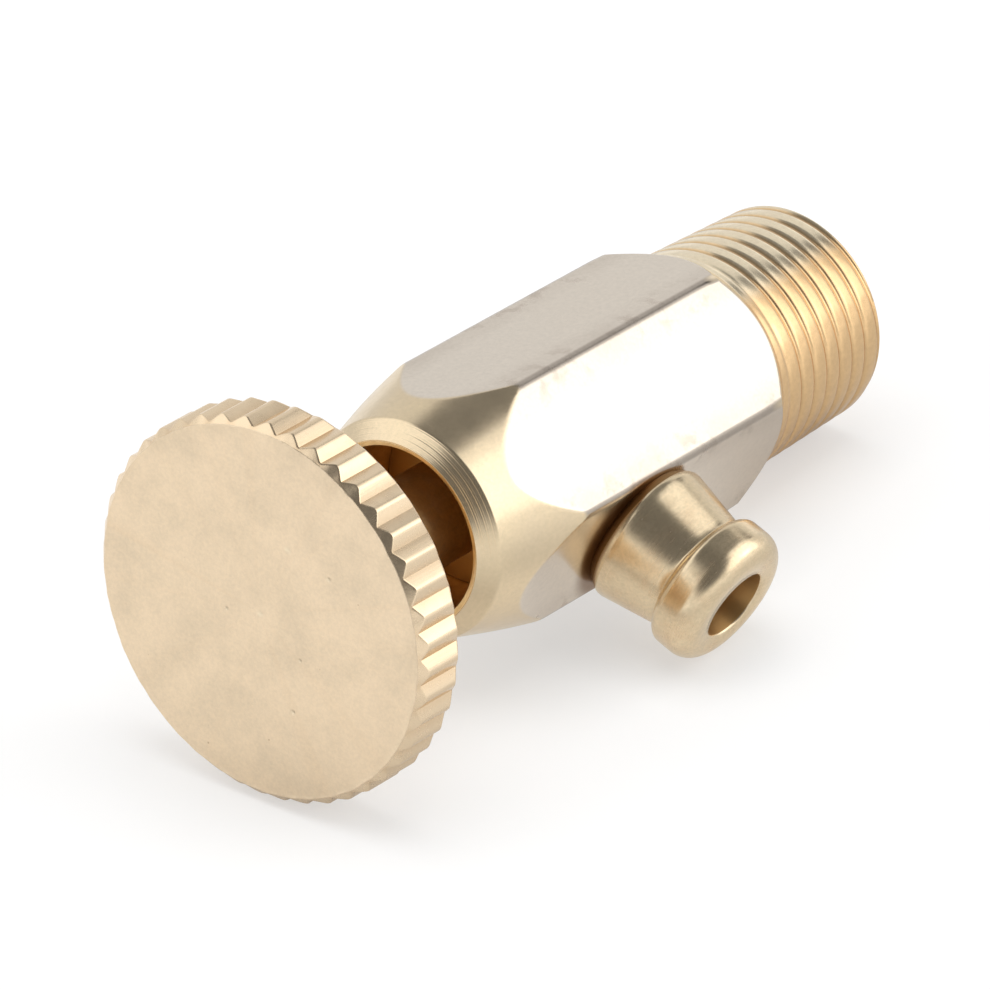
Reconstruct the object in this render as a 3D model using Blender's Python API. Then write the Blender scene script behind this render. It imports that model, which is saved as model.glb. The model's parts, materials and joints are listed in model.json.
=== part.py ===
"""Brass needle valve: hexagon body with an R 1/8 pipe thread, side hose nipple and knurled thumb knob.

The valve is modelled in its own frame: +Z runs along the valve axis from the inlet end
towards the knob, the origin is at the centre of the inlet end face, and the nipple points
along +X. The empty "valve" then lays the finished valve down on its side, the way it lies
on a table: on the knob's rim, the nipple's bead and the end of the pipe thread.
The knob is drawn four turns open. Units are metres.
"""
import math

import bmesh
import bpy
from mathutils import Matrix, Vector

MM = 0.001

# Pipe thread: a taper thread of the 1/8 size, drawn at its crests, which are rounded off
THREAD_GAUGE_DIAMETER = 9.45 * MM
THREAD_GAUGE_HEIGHT = 4.0 * MM
THREAD_TAPER = 1 / 16
THREAD_LENGTH = 7.35 * MM
THREAD_END_CHAMFER = 0.4 * MM

# Hexagon body and its turned nose
BODY_LENGTH = 26.25 * MM
HEX_ACROSS_FLATS = 10.0 * MM
HEX_EDGE_ROUND = 0.5 * MM
SHOULDER_ANGLE = math.radians(35)
NOSE_ANGLE = math.radians(14.5)
COLLAR_DIAMETER = 9.24 * MM
COLLAR_SETBACK = 0.67 * MM
LIP_WIDTH = 0.2 * MM

# Flow path through the body, from the inlet end up
INLET_BORE_DIAMETER = 4.4 * MM
INLET_BORE_CHAMFER = 0.3 * MM
DRILL_POINT_ANGLE = math.radians(31)
ORIFICE_DIAMETER = 2.0 * MM
ORIFICE_LENGTH = 2.0 * MM
SEAT_ANGLE = math.radians(45)

# Stem thread, drawn as plain mating cylinders, and the gland bore at the mouth
STEM_THREAD_DIAMETER = 5.0 * MM
STEM_THREAD_LENGTH = 2.6 * MM
STEM_THREAD_PITCH = 0.8 * MM
GLAND_BORE_DIAMETER = 7.34 * MM
GLAND_BORE_DEPTH = 6.8 * MM

# Gland, from the bottom of its bore up
WASHER_THICKNESS = 0.3 * MM
PACKING_THICKNESS = 0.5 * MM
PACKING_COUNT = 2
GLAND_NUT_THICKNESS = 1.2 * MM
GLAND_SLOT_WIDTH = 0.9 * MM
GLAND_SLOT_DEPTH = 0.45 * MM

# Spindle
TURNS_OPEN = 4.0
TURNS_TO_STOP = 0.25
SHANK_DIAMETER = 4.0 * MM
SPINDLE_CHAMFER = 0.3 * MM
SPIGOT_DIAMETER = 3.0 * MM

# Swivelling needle and the clip that holds it in the spindle
NEEDLE_DIAMETER = 2.5 * MM
NEEDLE_ANGLE = math.radians(14)
NEEDLE_TIP_DIAMETER = 0.3 * MM
NEEDLE_COLLAR_HEIGHT = 0.3 * MM
NEEDLE_STUB_DIAMETER = 1.5 * MM
NEEDLE_STUB_LENGTH = 2.6 * MM
CLIP_HEIGHT = 1.4 * MM
CLIP_THICKNESS = 0.4 * MM
CLIP_BITE = 0.25 * MM
CLIP_GAP = 0.5 * MM

# Thumb knob
KNOB_GAP = 6.08 * MM
KNOB_THICKNESS = 2.44 * MM
KNOB_DIAMETER = 16.0 * MM
KNURL_COUNT = 44
KNURL_DEPTH = 0.27 * MM
KNURL_CREST_SHARE = 0.12
KNURL_EDGE_STEP = 0.05 * MM
HUB_DIAMETER = 6.4 * MM
HUB_LENGTH = 2.2 * MM
HUB_CHAMFER = 0.3 * MM
KNOB_FACE_WALL = 1.2 * MM
PIN_DIAMETER = 1.0 * MM
PIN_INSET = 0.1 * MM
PIN_CHAMFER = 0.12 * MM

# Hose nipple: its drop is from the gland bore's floor, the rest is measured outwards from the valve axis
NIPPLE_DROP = 2.8 * MM
NIPPLE_REACH = 10.2 * MM
NIPPLE_BORE_DIAMETER = 3.0 * MM
NIPPLE_BORE_CHAMFER = 0.12 * MM
NIPPLE_SPIGOT_DIAMETER = 4.4 * MM
NIPPLE_SOCKET_FLOOR = 2.95 * MM
NIPPLE_BASE_DIAMETER = 6.3 * MM
NIPPLE_NECK_DIAMETER = 5.14 * MM
BEAD_DIAMETER = 6.0 * MM
BEAD_LENGTH = 2.13 * MM
BEAD_FRONT_RADIUS = 0.9 * MM
BEAD_BACK_RADIUS = 0.45 * MM
BEAD_HOLLOW_RADIUS = 0.15 * MM

# Clearances
SEATING_GAP = 0.03 * MM
RUNNING_GAP = 0.05 * MM
SEAT_GAP = 0.05 * MM

# Smoothness of turned pieces
BODY_SEGMENTS = 72
PIECE_SEGMENTS = 48
ARC_STEPS = 5
CUT_MARGIN = 1.0 * MM
SMOOTH_ANGLE = math.radians(30)

# Heights that several pieces share, along the valve axis
GLAND_FLOOR = BODY_LENGTH - GLAND_BORE_DEPTH
NIPPLE_HEIGHT = GLAND_FLOOR - NIPPLE_DROP
KNOB_BACK = BODY_LENGTH + KNOB_GAP
KNOB_FRONT = KNOB_BACK + KNOB_THICKNESS
HUB_END = KNOB_BACK - HUB_LENGTH
# Both edges of the knob are chamfered at 45 degrees, from inside the knurl's roots to its crests.
KNOB_EDGE = KNURL_DEPTH + KNURL_EDGE_STEP
STEM_THREAD_TOP = GLAND_FLOOR + SEATING_GAP - TURNS_TO_STOP * STEM_THREAD_PITCH - RUNNING_GAP
SPINDLE_NOSE = STEM_THREAD_TOP - STEM_THREAD_LENGTH
NEEDLE_CONE_TOP = SPINDLE_NOSE - RUNNING_GAP - NEEDLE_COLLAR_HEIGHT
# Screwed shut, the needle's cone stops a seat gap short of the orifice's edge.
SEAT_BITE = (NEEDLE_DIAMETER / 2 - ORIFICE_DIAMETER / 2 + SEAT_GAP) / math.tan(NEEDLE_ANGLE)
SEAT_HEIGHT = NEEDLE_CONE_TOP - SEAT_BITE - TURNS_OPEN * STEM_THREAD_PITCH
PIN_HEIGHT = HUB_END + HUB_LENGTH / 2

BRASS = (0.80, 0.62, 0.38)
STEEL = (0.55, 0.55, 0.56)
PTFE = (0.86, 0.85, 0.80)


def clear_scene():
    for old in list(bpy.data.objects):
        bpy.data.objects.remove(old, do_unlink=True)


def make_material(name, colour, metallic, roughness):
    material = bpy.data.materials.new(name)
    material.use_nodes = True
    shader = material.node_tree.nodes["Principled BSDF"]
    shader.inputs["Base Color"].default_value = (*colour, 1)
    shader.inputs["Metallic"].default_value = metallic
    shader.inputs["Roughness"].default_value = roughness
    material.diffuse_color = (*colour, 1)
    return material


def link_mesh(name, bm):
    """Turn a bmesh into an object with its faces pointing out."""
    bmesh.ops.recalc_face_normals(bm, faces=bm.faces)
    mesh = bpy.data.meshes.new(name)
    bm.to_mesh(mesh)
    bm.free()
    piece = bpy.data.objects.new(name, mesh)
    bpy.context.collection.objects.link(piece)
    return piece


def turned(name, profile, segments=PIECE_SEGMENTS):
    """Spin a closed outline of (radius, height) points about +Z."""
    bm = bmesh.new()
    verts = [bm.verts.new((radius, 0, height)) for radius, height in profile]
    edges = [bm.edges.new((verts[i - 1], verts[i])) for i in range(len(verts))]
    on_axis = [edge for edge in edges if all(v.co.x == 0 for v in edge.verts)]
    for edge in on_axis:
        bm.edges.remove(edge)
        edges.remove(edge)
    bmesh.ops.spin(bm, geom=verts + edges, axis=(0, 0, 1), cent=(0, 0, 0),
                   angle=math.tau, steps=segments, use_merge=True)
    bmesh.ops.remove_doubles(bm, verts=bm.verts, dist=0.0001 * MM)
    return link_mesh(name, bm)


def box(name, low, high):
    """A cutting block between two corners."""
    bm = bmesh.new()
    middle = (Vector(low) + Vector(high)) / 2
    size = Vector(high) - Vector(low)
    bmesh.ops.create_cube(bm, size=1, matrix=Matrix.Translation(middle) @ Matrix.Diagonal((*size, 1)))
    return link_mesh(name, bm)


def arc(centre, radius, start, stop, steps=ARC_STEPS):
    """Points of an arc in the (radius, height) plane, from one angle to another."""
    angles = [start + (stop - start) * i / steps for i in range(steps + 1)]
    return [(centre[0] + radius * math.cos(a), centre[1] + radius * math.sin(a)) for a in angles]


def shape_by(piece, cutter, operation):
    """Cut or trim a piece with another solid, then drop that solid."""
    modifier = piece.modifiers.new(operation.lower(), "BOOLEAN")
    modifier.operation = operation
    modifier.solver = "EXACT"
    modifier.object = cutter
    bpy.context.view_layer.update()
    result = piece.evaluated_get(bpy.context.evaluated_depsgraph_get())
    mesh = bpy.data.meshes.new_from_object(result)
    piece.modifiers.clear()
    piece.data = mesh
    bpy.data.objects.remove(cutter, do_unlink=True)


def finish(piece, parent, material):
    """Shade a finished piece, colour it and hang it on its empty."""
    piece.data.shade_smooth()
    piece.data.set_sharp_from_angle(angle=SMOOTH_ANGLE)
    piece.data.materials.clear()
    piece.data.materials.append(material)
    piece.parent = parent
    return piece


def add_empty(name, parent=None):
    empty = bpy.data.objects.new(name, None)
    empty.empty_display_size = KNOB_DIAMETER
    bpy.context.collection.objects.link(empty)
    empty.parent = parent
    return empty


def thread_radius(height):
    return (THREAD_GAUGE_DIAMETER + (height - THREAD_GAUGE_HEIGHT) * THREAD_TAPER) / 2


def hexagon_bar():
    """The bar that the body is turned from: a flat faces +X, and its long edges are rounded."""
    corner = HEX_ACROSS_FLATS / math.sqrt(3)
    height = BODY_LENGTH + 2 * CUT_MARGIN
    bm = bmesh.new()
    bmesh.ops.create_cone(bm, cap_ends=True, segments=6, radius1=corner, radius2=corner, depth=height,
                          matrix=Matrix.Translation((0, 0, BODY_LENGTH / 2)))
    long_edges = [edge for edge in bm.edges if abs(edge.verts[0].co.z - edge.verts[1].co.z) > CUT_MARGIN]
    bmesh.ops.bevel(bm, geom=long_edges, offset=HEX_EDGE_ROUND * math.tan(math.pi / 6), segments=3,
                    profile=0.5, affect="EDGES")
    return link_mesh("hexagon_bar", bm)


def body_outline():
    """The turned outside of the body, before the bar's six flats trim it."""
    corner = HEX_ACROSS_FLATS / math.sqrt(3) + CUT_MARGIN
    collar = COLLAR_DIAMETER / 2
    collar_height = BODY_LENGTH - COLLAR_SETBACK
    thread_top = thread_radius(THREAD_LENGTH)
    return [
        (0, 0),
        (thread_radius(0) - THREAD_END_CHAMFER, 0),
        (thread_radius(THREAD_END_CHAMFER), THREAD_END_CHAMFER),
        (thread_top, THREAD_LENGTH),
        (corner, THREAD_LENGTH + (corner - thread_top) / math.tan(SHOULDER_ANGLE)),
        (corner, collar_height - (corner - collar) / math.tan(NOSE_ANGLE)),
        (collar, collar_height),
        (GLAND_BORE_DIAMETER / 2 + LIP_WIDTH, BODY_LENGTH),
        (0, BODY_LENGTH),
    ]


def bore_outline():
    """The hollow through the body: inlet bore, orifice, seat, stem thread and gland bore."""
    inlet = INLET_BORE_DIAMETER / 2
    orifice = ORIFICE_DIAMETER / 2
    stem = STEM_THREAD_DIAMETER / 2 + RUNNING_GAP
    gland = GLAND_BORE_DIAMETER / 2
    drill_point = (inlet - orifice) * math.tan(DRILL_POINT_ANGLE)
    return [
        (0, -CUT_MARGIN),
        (inlet + INLET_BORE_CHAMFER + CUT_MARGIN, -CUT_MARGIN),
        (inlet, INLET_BORE_CHAMFER),
        (inlet, SEAT_HEIGHT - ORIFICE_LENGTH - drill_point),
        (orifice, SEAT_HEIGHT - ORIFICE_LENGTH),
        (orifice, SEAT_HEIGHT),
        (stem, SEAT_HEIGHT + (stem - orifice) / math.tan(SEAT_ANGLE)),
        (stem, GLAND_FLOOR),
        (gland, GLAND_FLOOR),
        (gland, BODY_LENGTH + CUT_MARGIN),
        (0, BODY_LENGTH + CUT_MARGIN),
    ]


def aim_at_nipple(piece):
    """Turn a piece modelled along +Z onto the nipple's axis."""
    piece.location = (0, 0, NIPPLE_HEIGHT)
    piece.rotation_euler = (0, math.pi / 2, 0)


def make_body():
    body = turned("valve_body", body_outline(), BODY_SEGMENTS)
    shape_by(body, hexagon_bar(), "INTERSECT")
    shape_by(body, turned("body_bore", bore_outline(), BODY_SEGMENTS), "DIFFERENCE")
    passage = NIPPLE_BORE_DIAMETER / 2
    socket = NIPPLE_SPIGOT_DIAMETER / 2 + SEATING_GAP
    outside = HEX_ACROSS_FLATS / 2 + CUT_MARGIN
    side_bore = turned("side_bore", [(0, 0), (passage, 0), (passage, NIPPLE_SOCKET_FLOOR),
                                     (socket, NIPPLE_SOCKET_FLOOR), (socket, outside), (0, outside)])
    aim_at_nipple(side_bore)
    shape_by(body, side_bore, "DIFFERENCE")
    return body


def make_nipple():
    bore = NIPPLE_BORE_DIAMETER / 2
    spigot = NIPPLE_SPIGOT_DIAMETER / 2
    neck = NIPPLE_NECK_DIAMETER / 2
    bead = BEAD_DIAMETER / 2
    seat = HEX_ACROSS_FLATS / 2 + SEATING_GAP
    inner = NIPPLE_SOCKET_FLOOR + SEATING_GAP
    bead_back = NIPPLE_REACH - BEAD_LENGTH
    # The neck runs up the bead's back in a hollow curve and then a round one.
    both = BEAD_HOLLOW_RADIUS + BEAD_BACK_RADIUS
    turn = math.acos(1 - (bead - neck) / both)
    widest = bead_back + both * math.sin(turn)
    outline = [(bore, inner), (spigot, inner), (spigot, seat), (NIPPLE_BASE_DIAMETER / 2, seat)]
    outline += arc((neck + BEAD_HOLLOW_RADIUS, bead_back), BEAD_HOLLOW_RADIUS, math.pi, math.pi - turn)
    outline += arc((bead - BEAD_BACK_RADIUS, widest), BEAD_BACK_RADIUS, -turn, 0)[1:]
    outline += arc((bead - BEAD_FRONT_RADIUS, NIPPLE_REACH - BEAD_FRONT_RADIUS), BEAD_FRONT_RADIUS,
                   0, math.pi / 2)
    outline += [(bore + NIPPLE_BORE_CHAMFER, NIPPLE_REACH), (bore, NIPPLE_REACH - NIPPLE_BORE_CHAMFER)]
    nipple = turned("hose_nipple", outline)
    aim_at_nipple(nipple)
    return nipple


def ring(name, inner, outer, low, high):
    return turned(name, [(inner, low), (outer, low), (outer, high), (inner, high)])


def make_gland():
    """The packing washer, the packing rings and the slotted nut that presses on them."""
    inner = SHANK_DIAMETER / 2 + RUNNING_GAP
    outer = GLAND_BORE_DIAMETER / 2 - RUNNING_GAP
    low = GLAND_FLOOR + SEATING_GAP
    washer = ring("packing_washer", inner, outer, low, low + WASHER_THICKNESS)
    low += WASHER_THICKNESS + SEATING_GAP
    packing = []
    for number in range(1, PACKING_COUNT + 1):
        packing.append(ring(f"packing_ring_{number}", inner, outer, low, low + PACKING_THICKNESS))
        low += PACKING_THICKNESS + SEATING_GAP
    nut = ring("gland_nut", inner, outer, low, low + GLAND_NUT_THICKNESS)
    top = low + GLAND_NUT_THICKNESS
    half_slot = GLAND_SLOT_WIDTH / 2
    slot = box("gland_slot", (-half_slot, -GLAND_BORE_DIAMETER, top - GLAND_SLOT_DEPTH),
               (half_slot, GLAND_BORE_DIAMETER, top + CUT_MARGIN))
    shape_by(nut, slot, "DIFFERENCE")
    return washer, packing, nut


def clip_heights():
    """Lower and upper side of the clip that holds the needle in the spindle."""
    low = SPINDLE_NOSE + CLIP_HEIGHT
    return low, low + CLIP_THICKNESS


def lay_across(piece):
    """Turn a piece modelled along +Z across the hub, at the height of the knob's pin."""
    piece.location = (0, 0, PIN_HEIGHT)
    piece.rotation_euler = (math.pi / 2, 0, 0)


def pin_hole(name):
    """A cutter for the hole that the knob's pin goes through."""
    radius = PIN_DIAMETER / 2 + SEATING_GAP
    reach = HUB_DIAMETER
    hole = turned(name, [(0, -reach), (radius, -reach), (radius, reach), (0, reach)], PIECE_SEGMENTS // 2)
    lay_across(hole)
    return hole


def make_spindle():
    thread = STEM_THREAD_DIAMETER / 2
    shank = SHANK_DIAMETER / 2
    spigot = SPIGOT_DIAMETER / 2
    socket = NEEDLE_STUB_DIAMETER / 2 + RUNNING_GAP
    groove = NEEDLE_STUB_DIAMETER / 2 + CLIP_BITE + RUNNING_GAP
    clip_low, clip_high = clip_heights()
    socket_end = SPINDLE_NOSE + NEEDLE_STUB_LENGTH + RUNNING_GAP
    spigot_end = KNOB_FRONT - KNOB_FACE_WALL - SEATING_GAP
    shank_end = HUB_END - SEATING_GAP
    spindle = turned("spindle", [
        (0, socket_end),
        (socket, socket_end),
        (socket, clip_high + RUNNING_GAP),
        (groove, clip_high + RUNNING_GAP),
        (groove, clip_low - RUNNING_GAP),
        (socket, clip_low - RUNNING_GAP),
        (socket, SPINDLE_NOSE),
        (thread - SPINDLE_CHAMFER, SPINDLE_NOSE),
        (thread, SPINDLE_NOSE + SPINDLE_CHAMFER),
        (thread, STEM_THREAD_TOP - SPINDLE_CHAMFER),
        (thread - SPINDLE_CHAMFER, STEM_THREAD_TOP),
        (shank, STEM_THREAD_TOP),
        (shank, shank_end),
        (spigot, shank_end),
        (spigot, spigot_end - SPINDLE_CHAMFER),
        (spigot - SPINDLE_CHAMFER, spigot_end),
        (0, spigot_end),
    ])
    shape_by(spindle, pin_hole("spindle_pin_hole"), "DIFFERENCE")
    return spindle


def make_needle():
    full = NEEDLE_DIAMETER / 2
    tip = NEEDLE_TIP_DIAMETER / 2
    stub = NEEDLE_STUB_DIAMETER / 2
    groove = stub - CLIP_BITE
    clip_low, clip_high = clip_heights()
    collar_top = SPINDLE_NOSE - RUNNING_GAP
    tip_height = NEEDLE_CONE_TOP - (full - tip) / math.tan(NEEDLE_ANGLE)
    stub_end = SPINDLE_NOSE + NEEDLE_STUB_LENGTH
    return turned("needle", [
        (0, tip_height),
        (tip, tip_height),
        (full, NEEDLE_CONE_TOP),
        (full, collar_top),
        (stub, collar_top),
        (stub, clip_low - RUNNING_GAP),
        (groove, clip_low - RUNNING_GAP),
        (groove, clip_high + RUNNING_GAP),
        (stub, clip_high + RUNNING_GAP),
        (stub, stub_end),
        (0, stub_end),
    ])


def make_clip():
    """A split spring ring, half in the needle's groove and half in the spindle's."""
    middle = NEEDLE_STUB_DIAMETER / 2
    low, high = clip_heights()
    clip = ring("needle_clip", middle - CLIP_BITE + RUNNING_GAP, middle + CLIP_BITE, low, high)
    split = box("clip_split", (0, -CLIP_GAP / 2, low - CUT_MARGIN),
                (NEEDLE_DIAMETER, CLIP_GAP / 2, high + CUT_MARGIN))
    shape_by(clip, split, "DIFFERENCE")
    return clip


def knurl_ring(bm, crest, root):
    """One loop round the knurl: two points on each crest and one in each groove."""
    tooth = math.tau / KNURL_COUNT
    verts = []
    for number in range(KNURL_COUNT):
        for share, (radius, height) in ((-KNURL_CREST_SHARE / 2, crest), (KNURL_CREST_SHARE / 2, crest),
                                        (0.5, root)):
            angle = (number + share) * tooth
            verts.append(bm.verts.new((radius * math.cos(angle), radius * math.sin(angle), height)))
    return verts


def bridge(bm, lower, upper):
    for i in range(len(lower)):
        bm.faces.new((lower[i - 1], lower[i], upper[i], upper[i - 1]))


def make_knob():
    """A disc with a plain face, a straight V knurl that runs out on its chamfers, and a hub behind."""
    crest = KNOB_DIAMETER / 2
    root = crest - KNURL_DEPTH
    face = root - KNURL_EDGE_STEP
    hub = HUB_DIAMETER / 2
    socket = SPIGOT_DIAMETER / 2 + SEATING_GAP
    socket_end = KNOB_FRONT - KNOB_FACE_WALL
    plain = [(socket, socket_end), (socket, HUB_END), (hub - HUB_CHAMFER, HUB_END),
             (hub, HUB_END + HUB_CHAMFER), (hub, KNOB_BACK), (face, KNOB_BACK)]
    bm = bmesh.new()
    rings = [knurl_ring(bm, point, point) for point in plain]
    rings.append(knurl_ring(bm, (crest, KNOB_BACK + KNOB_EDGE), (root, KNOB_BACK + KNURL_EDGE_STEP)))
    rings.append(knurl_ring(bm, (crest, KNOB_FRONT - KNOB_EDGE), (root, KNOB_FRONT - KNURL_EDGE_STEP)))
    rings.append(knurl_ring(bm, (face, KNOB_FRONT), (face, KNOB_FRONT)))
    for lower, upper in zip(rings, rings[1:]):
        bridge(bm, lower, upper)
    bm.faces.new(rings[0])
    bm.faces.new(rings[-1])
    knob = link_mesh("thumb_knob", bm)
    shape_by(knob, pin_hole("knob_pin_hole"), "DIFFERENCE")
    return knob


def make_pin():
    radius = PIN_DIAMETER / 2
    half = HUB_DIAMETER / 2 - PIN_INSET
    pin = turned("knob_pin", [(0, -half), (radius - PIN_CHAMFER, -half), (radius, -half + PIN_CHAMFER),
                              (radius, half - PIN_CHAMFER), (radius - PIN_CHAMFER, half), (0, half)],
                 PIECE_SEGMENTS // 2)
    lay_across(pin)
    return pin


def lying_pose():
    """The turn that lays the valve on its knob rim, its nipple bead and its thread end."""
    knob_height = KNOB_BACK + KNOB_EDGE
    knob_radius = KNOB_DIAMETER / 2
    thread_end = thread_radius(THREAD_END_CHAMFER)
    tilt = math.atan2(knob_radius - thread_end, knob_height - THREAD_END_CHAMFER)
    floor = THREAD_END_CHAMFER * math.sin(tilt) - thread_end * math.cos(tilt)
    # The bead's front rounding is a ring of this radius, this far out, and this thick.
    ring_radius = BEAD_DIAMETER / 2 - BEAD_FRONT_RADIUS
    ring_reach = NIPPLE_REACH - BEAD_FRONT_RADIUS
    drop = floor - NIPPLE_HEIGHT * math.sin(tilt) + BEAD_FRONT_RADIUS
    dip = math.asin(drop / math.hypot(ring_reach, ring_radius)) + math.atan2(ring_radius, ring_reach)
    axis = Vector((-math.cos(tilt), 0, math.sin(tilt)))
    level = Vector((0, -1, 0))
    upward = Vector((math.sin(tilt), 0, math.cos(tilt)))
    rise = math.sin(dip) / math.cos(tilt)
    nipple = math.sqrt(1 - rise * rise) * level + rise * upward
    turn = Matrix((nipple, axis.cross(nipple), axis)).transposed()
    return turn.to_4x4()


def lay_down(valve, pieces):
    """Lay the valve down, then move it so that its box stands centred on the origin."""
    valve.matrix_world = lying_pose()
    bpy.context.view_layer.update()
    points = [piece.matrix_world @ vert.co for piece in pieces for vert in piece.data.vertices]
    low = Vector([min(point[i] for point in points) for i in range(3)])
    high = Vector([max(point[i] for point in points) for i in range(3)])
    valve.location = (-(low.x + high.x) / 2, -(low.y + high.y) / 2, -low.z)
    bpy.context.view_layer.update()


def main():
    clear_scene()
    body_brass = make_material("body_brass", BRASS, 1, 0.3)
    knob_brass = make_material("knob_brass", BRASS, 1, 0.35)
    steel = make_material("stainless_steel", STEEL, 1, 0.3)
    ptfe = make_material("white_ptfe", PTFE, 0, 0.5)

    valve = add_empty("valve")
    needle_lift = add_empty("needle_lift", valve)
    knob_turn = add_empty("knob_turn", needle_lift)

    washer, packing, nut = make_gland()
    pieces = [
        finish(make_body(), valve, body_brass),
        finish(make_nipple(), valve, body_brass),
        finish(washer, valve, body_brass),
        finish(nut, valve, body_brass),
        finish(make_needle(), needle_lift, steel),
        finish(make_clip(), needle_lift, steel),
        finish(make_spindle(), knob_turn, knob_brass),
        finish(make_knob(), knob_turn, knob_brass),
        finish(make_pin(), knob_turn, steel),
    ]
    pieces += [finish(piece, valve, ptfe) for piece in packing]
    lay_down(valve, pieces)


main()
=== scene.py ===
"""Looks of the brass needle valve: fine skins over its bodies, brass finishes, a white floor and soft light.

Sizes are in millimetres. Heights run along the valve axis from the inlet face towards the knob,
and those of the nipple run outwards from the valve axis.
"""
import json
import math

import bmesh
import bpy
import numpy as np
from mathutils import Matrix, Vector


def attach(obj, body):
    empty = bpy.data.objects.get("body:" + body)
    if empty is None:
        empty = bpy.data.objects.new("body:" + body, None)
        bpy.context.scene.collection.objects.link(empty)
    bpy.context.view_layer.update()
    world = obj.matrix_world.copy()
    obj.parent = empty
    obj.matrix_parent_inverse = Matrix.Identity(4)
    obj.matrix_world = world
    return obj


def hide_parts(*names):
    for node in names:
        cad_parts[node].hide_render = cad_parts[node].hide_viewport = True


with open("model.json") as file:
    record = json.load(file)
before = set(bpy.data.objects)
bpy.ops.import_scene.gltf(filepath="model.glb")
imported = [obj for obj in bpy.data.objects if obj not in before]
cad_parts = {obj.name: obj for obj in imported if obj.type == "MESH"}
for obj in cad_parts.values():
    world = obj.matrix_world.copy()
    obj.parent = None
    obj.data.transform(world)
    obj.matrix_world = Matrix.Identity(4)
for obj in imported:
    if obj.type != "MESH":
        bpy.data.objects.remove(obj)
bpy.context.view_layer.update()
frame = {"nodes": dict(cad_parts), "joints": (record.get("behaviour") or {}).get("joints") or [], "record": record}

MM = 0.001
MERGE_DISTANCE = 1e-8  # metres
SIXTH = math.pi / 3
SHARP_ANGLE = math.radians(40)
EDGE_BREAK = 0.05
CUT_ROOM = 1.0  # how far a cutter reaches past the metal

# Pipe thread
THREAD_PITCH = 0.907
THREAD_DEPTH = 0.09
THREAD_GROOVE_WIDTH = 0.42
THREAD_CREST_ROUND = 0.006
THREAD_GAUGE_RADIUS = 4.725
THREAD_GAUGE_HEIGHT = 4.0
THREAD_FLARE = 1 / 32
THREAD_LENGTH = 7.35
THREAD_END_CHAMFER = 0.4
THREAD_RUNOUT = 1.2
THREAD_FINISH_LENGTH = THREAD_LENGTH + 0.1
# painted highlight: heights across the valve over which the upper crests turn pale
THREAD_PAINTED_HIGHLIGHT_FROM_TO = (3.7, 4.3)
THREAD_RING_STEP = 0.04

# Hexagon body and its turned nose. The edge's start is an angle from the middle of a flat.
APOTHEM = 5.0
HEX_EDGE_ROUND = 0.5
HEX_EDGE_START = math.atan((APOTHEM - HEX_EDGE_ROUND) * math.tan(SIXTH / 2) / APOTHEM)
HEX_EDGE_LINE_RISE = 1.6
SHOULDER_SLOPE = math.tan(math.radians(35))
SHOULDER_ROOM = 1.2
BAR_RING_STEP = 0.7
NOSE_SLOPE = math.tan(math.radians(14.5))
NOSE_ROOM = 5.1
NOSE_RING_STEP = 0.05
COLLAR_RADIUS = 4.62
COLLAR_SETBACK = 0.63
COLLAR_GROOVE_DEPTH = 0.0015
COLLAR_GROOVE_SPACINGS = (0.053, 0.074, 0.131, 0.223)
COLLAR_RINGS = 80
LIP_RADIUS = 3.92
LIP_DEPTH = 0.12
BODY_ZONE, THREAD_ZONE, BORE_ZONE = range(3)

# Hollow of the body
GLAND_BORE_RADIUS = 3.67
GLAND_BORE_DEPTH = 6.8
# painted shade: the body's bore darkens from its mouth over this depth
PAINTED_SHADE_DEPTH = 4.5
STEM_BORE_RADIUS = 2.55
SEAT_HEIGHT = 11.877
ORIFICE_RADIUS = 1.0
ORIFICE_LENGTH = 2.0
DRILL_POINT_SLOPE = math.tan(math.radians(31))
INLET_RADIUS = 2.2
INLET_CHAMFER = 0.3

# Gland nut
GLAND_NUT_RADIUS = 3.665
GLAND_NUT_BORE = 2.05
GLAND_SLOT_WIDTH = 0.9
GLAND_SLOT_DEPTH = 0.45

# Spindle
STEM_THREAD_LENGTH = 2.6
STEM_THREAD_RADIUS = 2.5
SHANK_RADIUS = 2.0
SPIGOT_RADIUS = 1.5
SPIGOT_LENGTH = 3.44
NEEDLE_SOCKET_RADIUS = 0.8
NEEDLE_SOCKET_DEPTH = 2.65
CLIP_GROOVE_RADIUS = 1.05
CLIP_GROOVE_SPAN = (1.35, 1.85)
SPINDLE_CHAMFER = 0.3

# Thumb knob. Its dents are given by place on the face and radius, their depth in units of the face's relief.
# The burr is a row of points by inset from the edge and share of its height.
KNOB_SEED = 44
KNOB_RADIUS = 8.0
KNOB_THICKNESS = 2.44
KNOB_EDGE = 0.34
KNOB_EDGE_RAGGED = 0.05
KNOB_EDGE_BREAK = 0.03
KNOB_RIM_WIDTH = 0.5
KNOB_RIM_RINGS = 5
KNOB_CHAMFER_FROM_TO = (0.02, KNOB_EDGE + 0.12)
KNOB_CHAMFER_RINGS = 23
KNOB_FACE_RINGS = 16
KNOB_BACK_INSET = 3.0
KNURL_COUNT = 44
KNURL_DEPTH = 0.27
KNURL_CREST_SHARE = 0.05
KNURL_CREST_ROUND = 0.02
KNURL_UNEVEN = 0.012
KNURL_PHASE = math.radians(-3.2)
KNOB_BURR = 0.012
KNOB_BURR_RAGGED = 3
KNOB_BURR_SHAPE = [(0.10, 0.0), (0.05, 0.7), (0.025, 1.0), (0.0, 0.5)]
RAGGED_WAVES = 14
RAGGED_WAVE_COUNTS = (5, 70)
KNOB_DENTS = [(1.34, 3.13, 0.22), (0.05, -0.04, 0.22), (3.33, 2.52, 0.16), (-1.59, -0.35, 0.13),
              (2.02, -1.41, 0.14), (1.72, -3.73, 0.16)]
KNOB_DENT_DEPTH = 12.0
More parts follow.
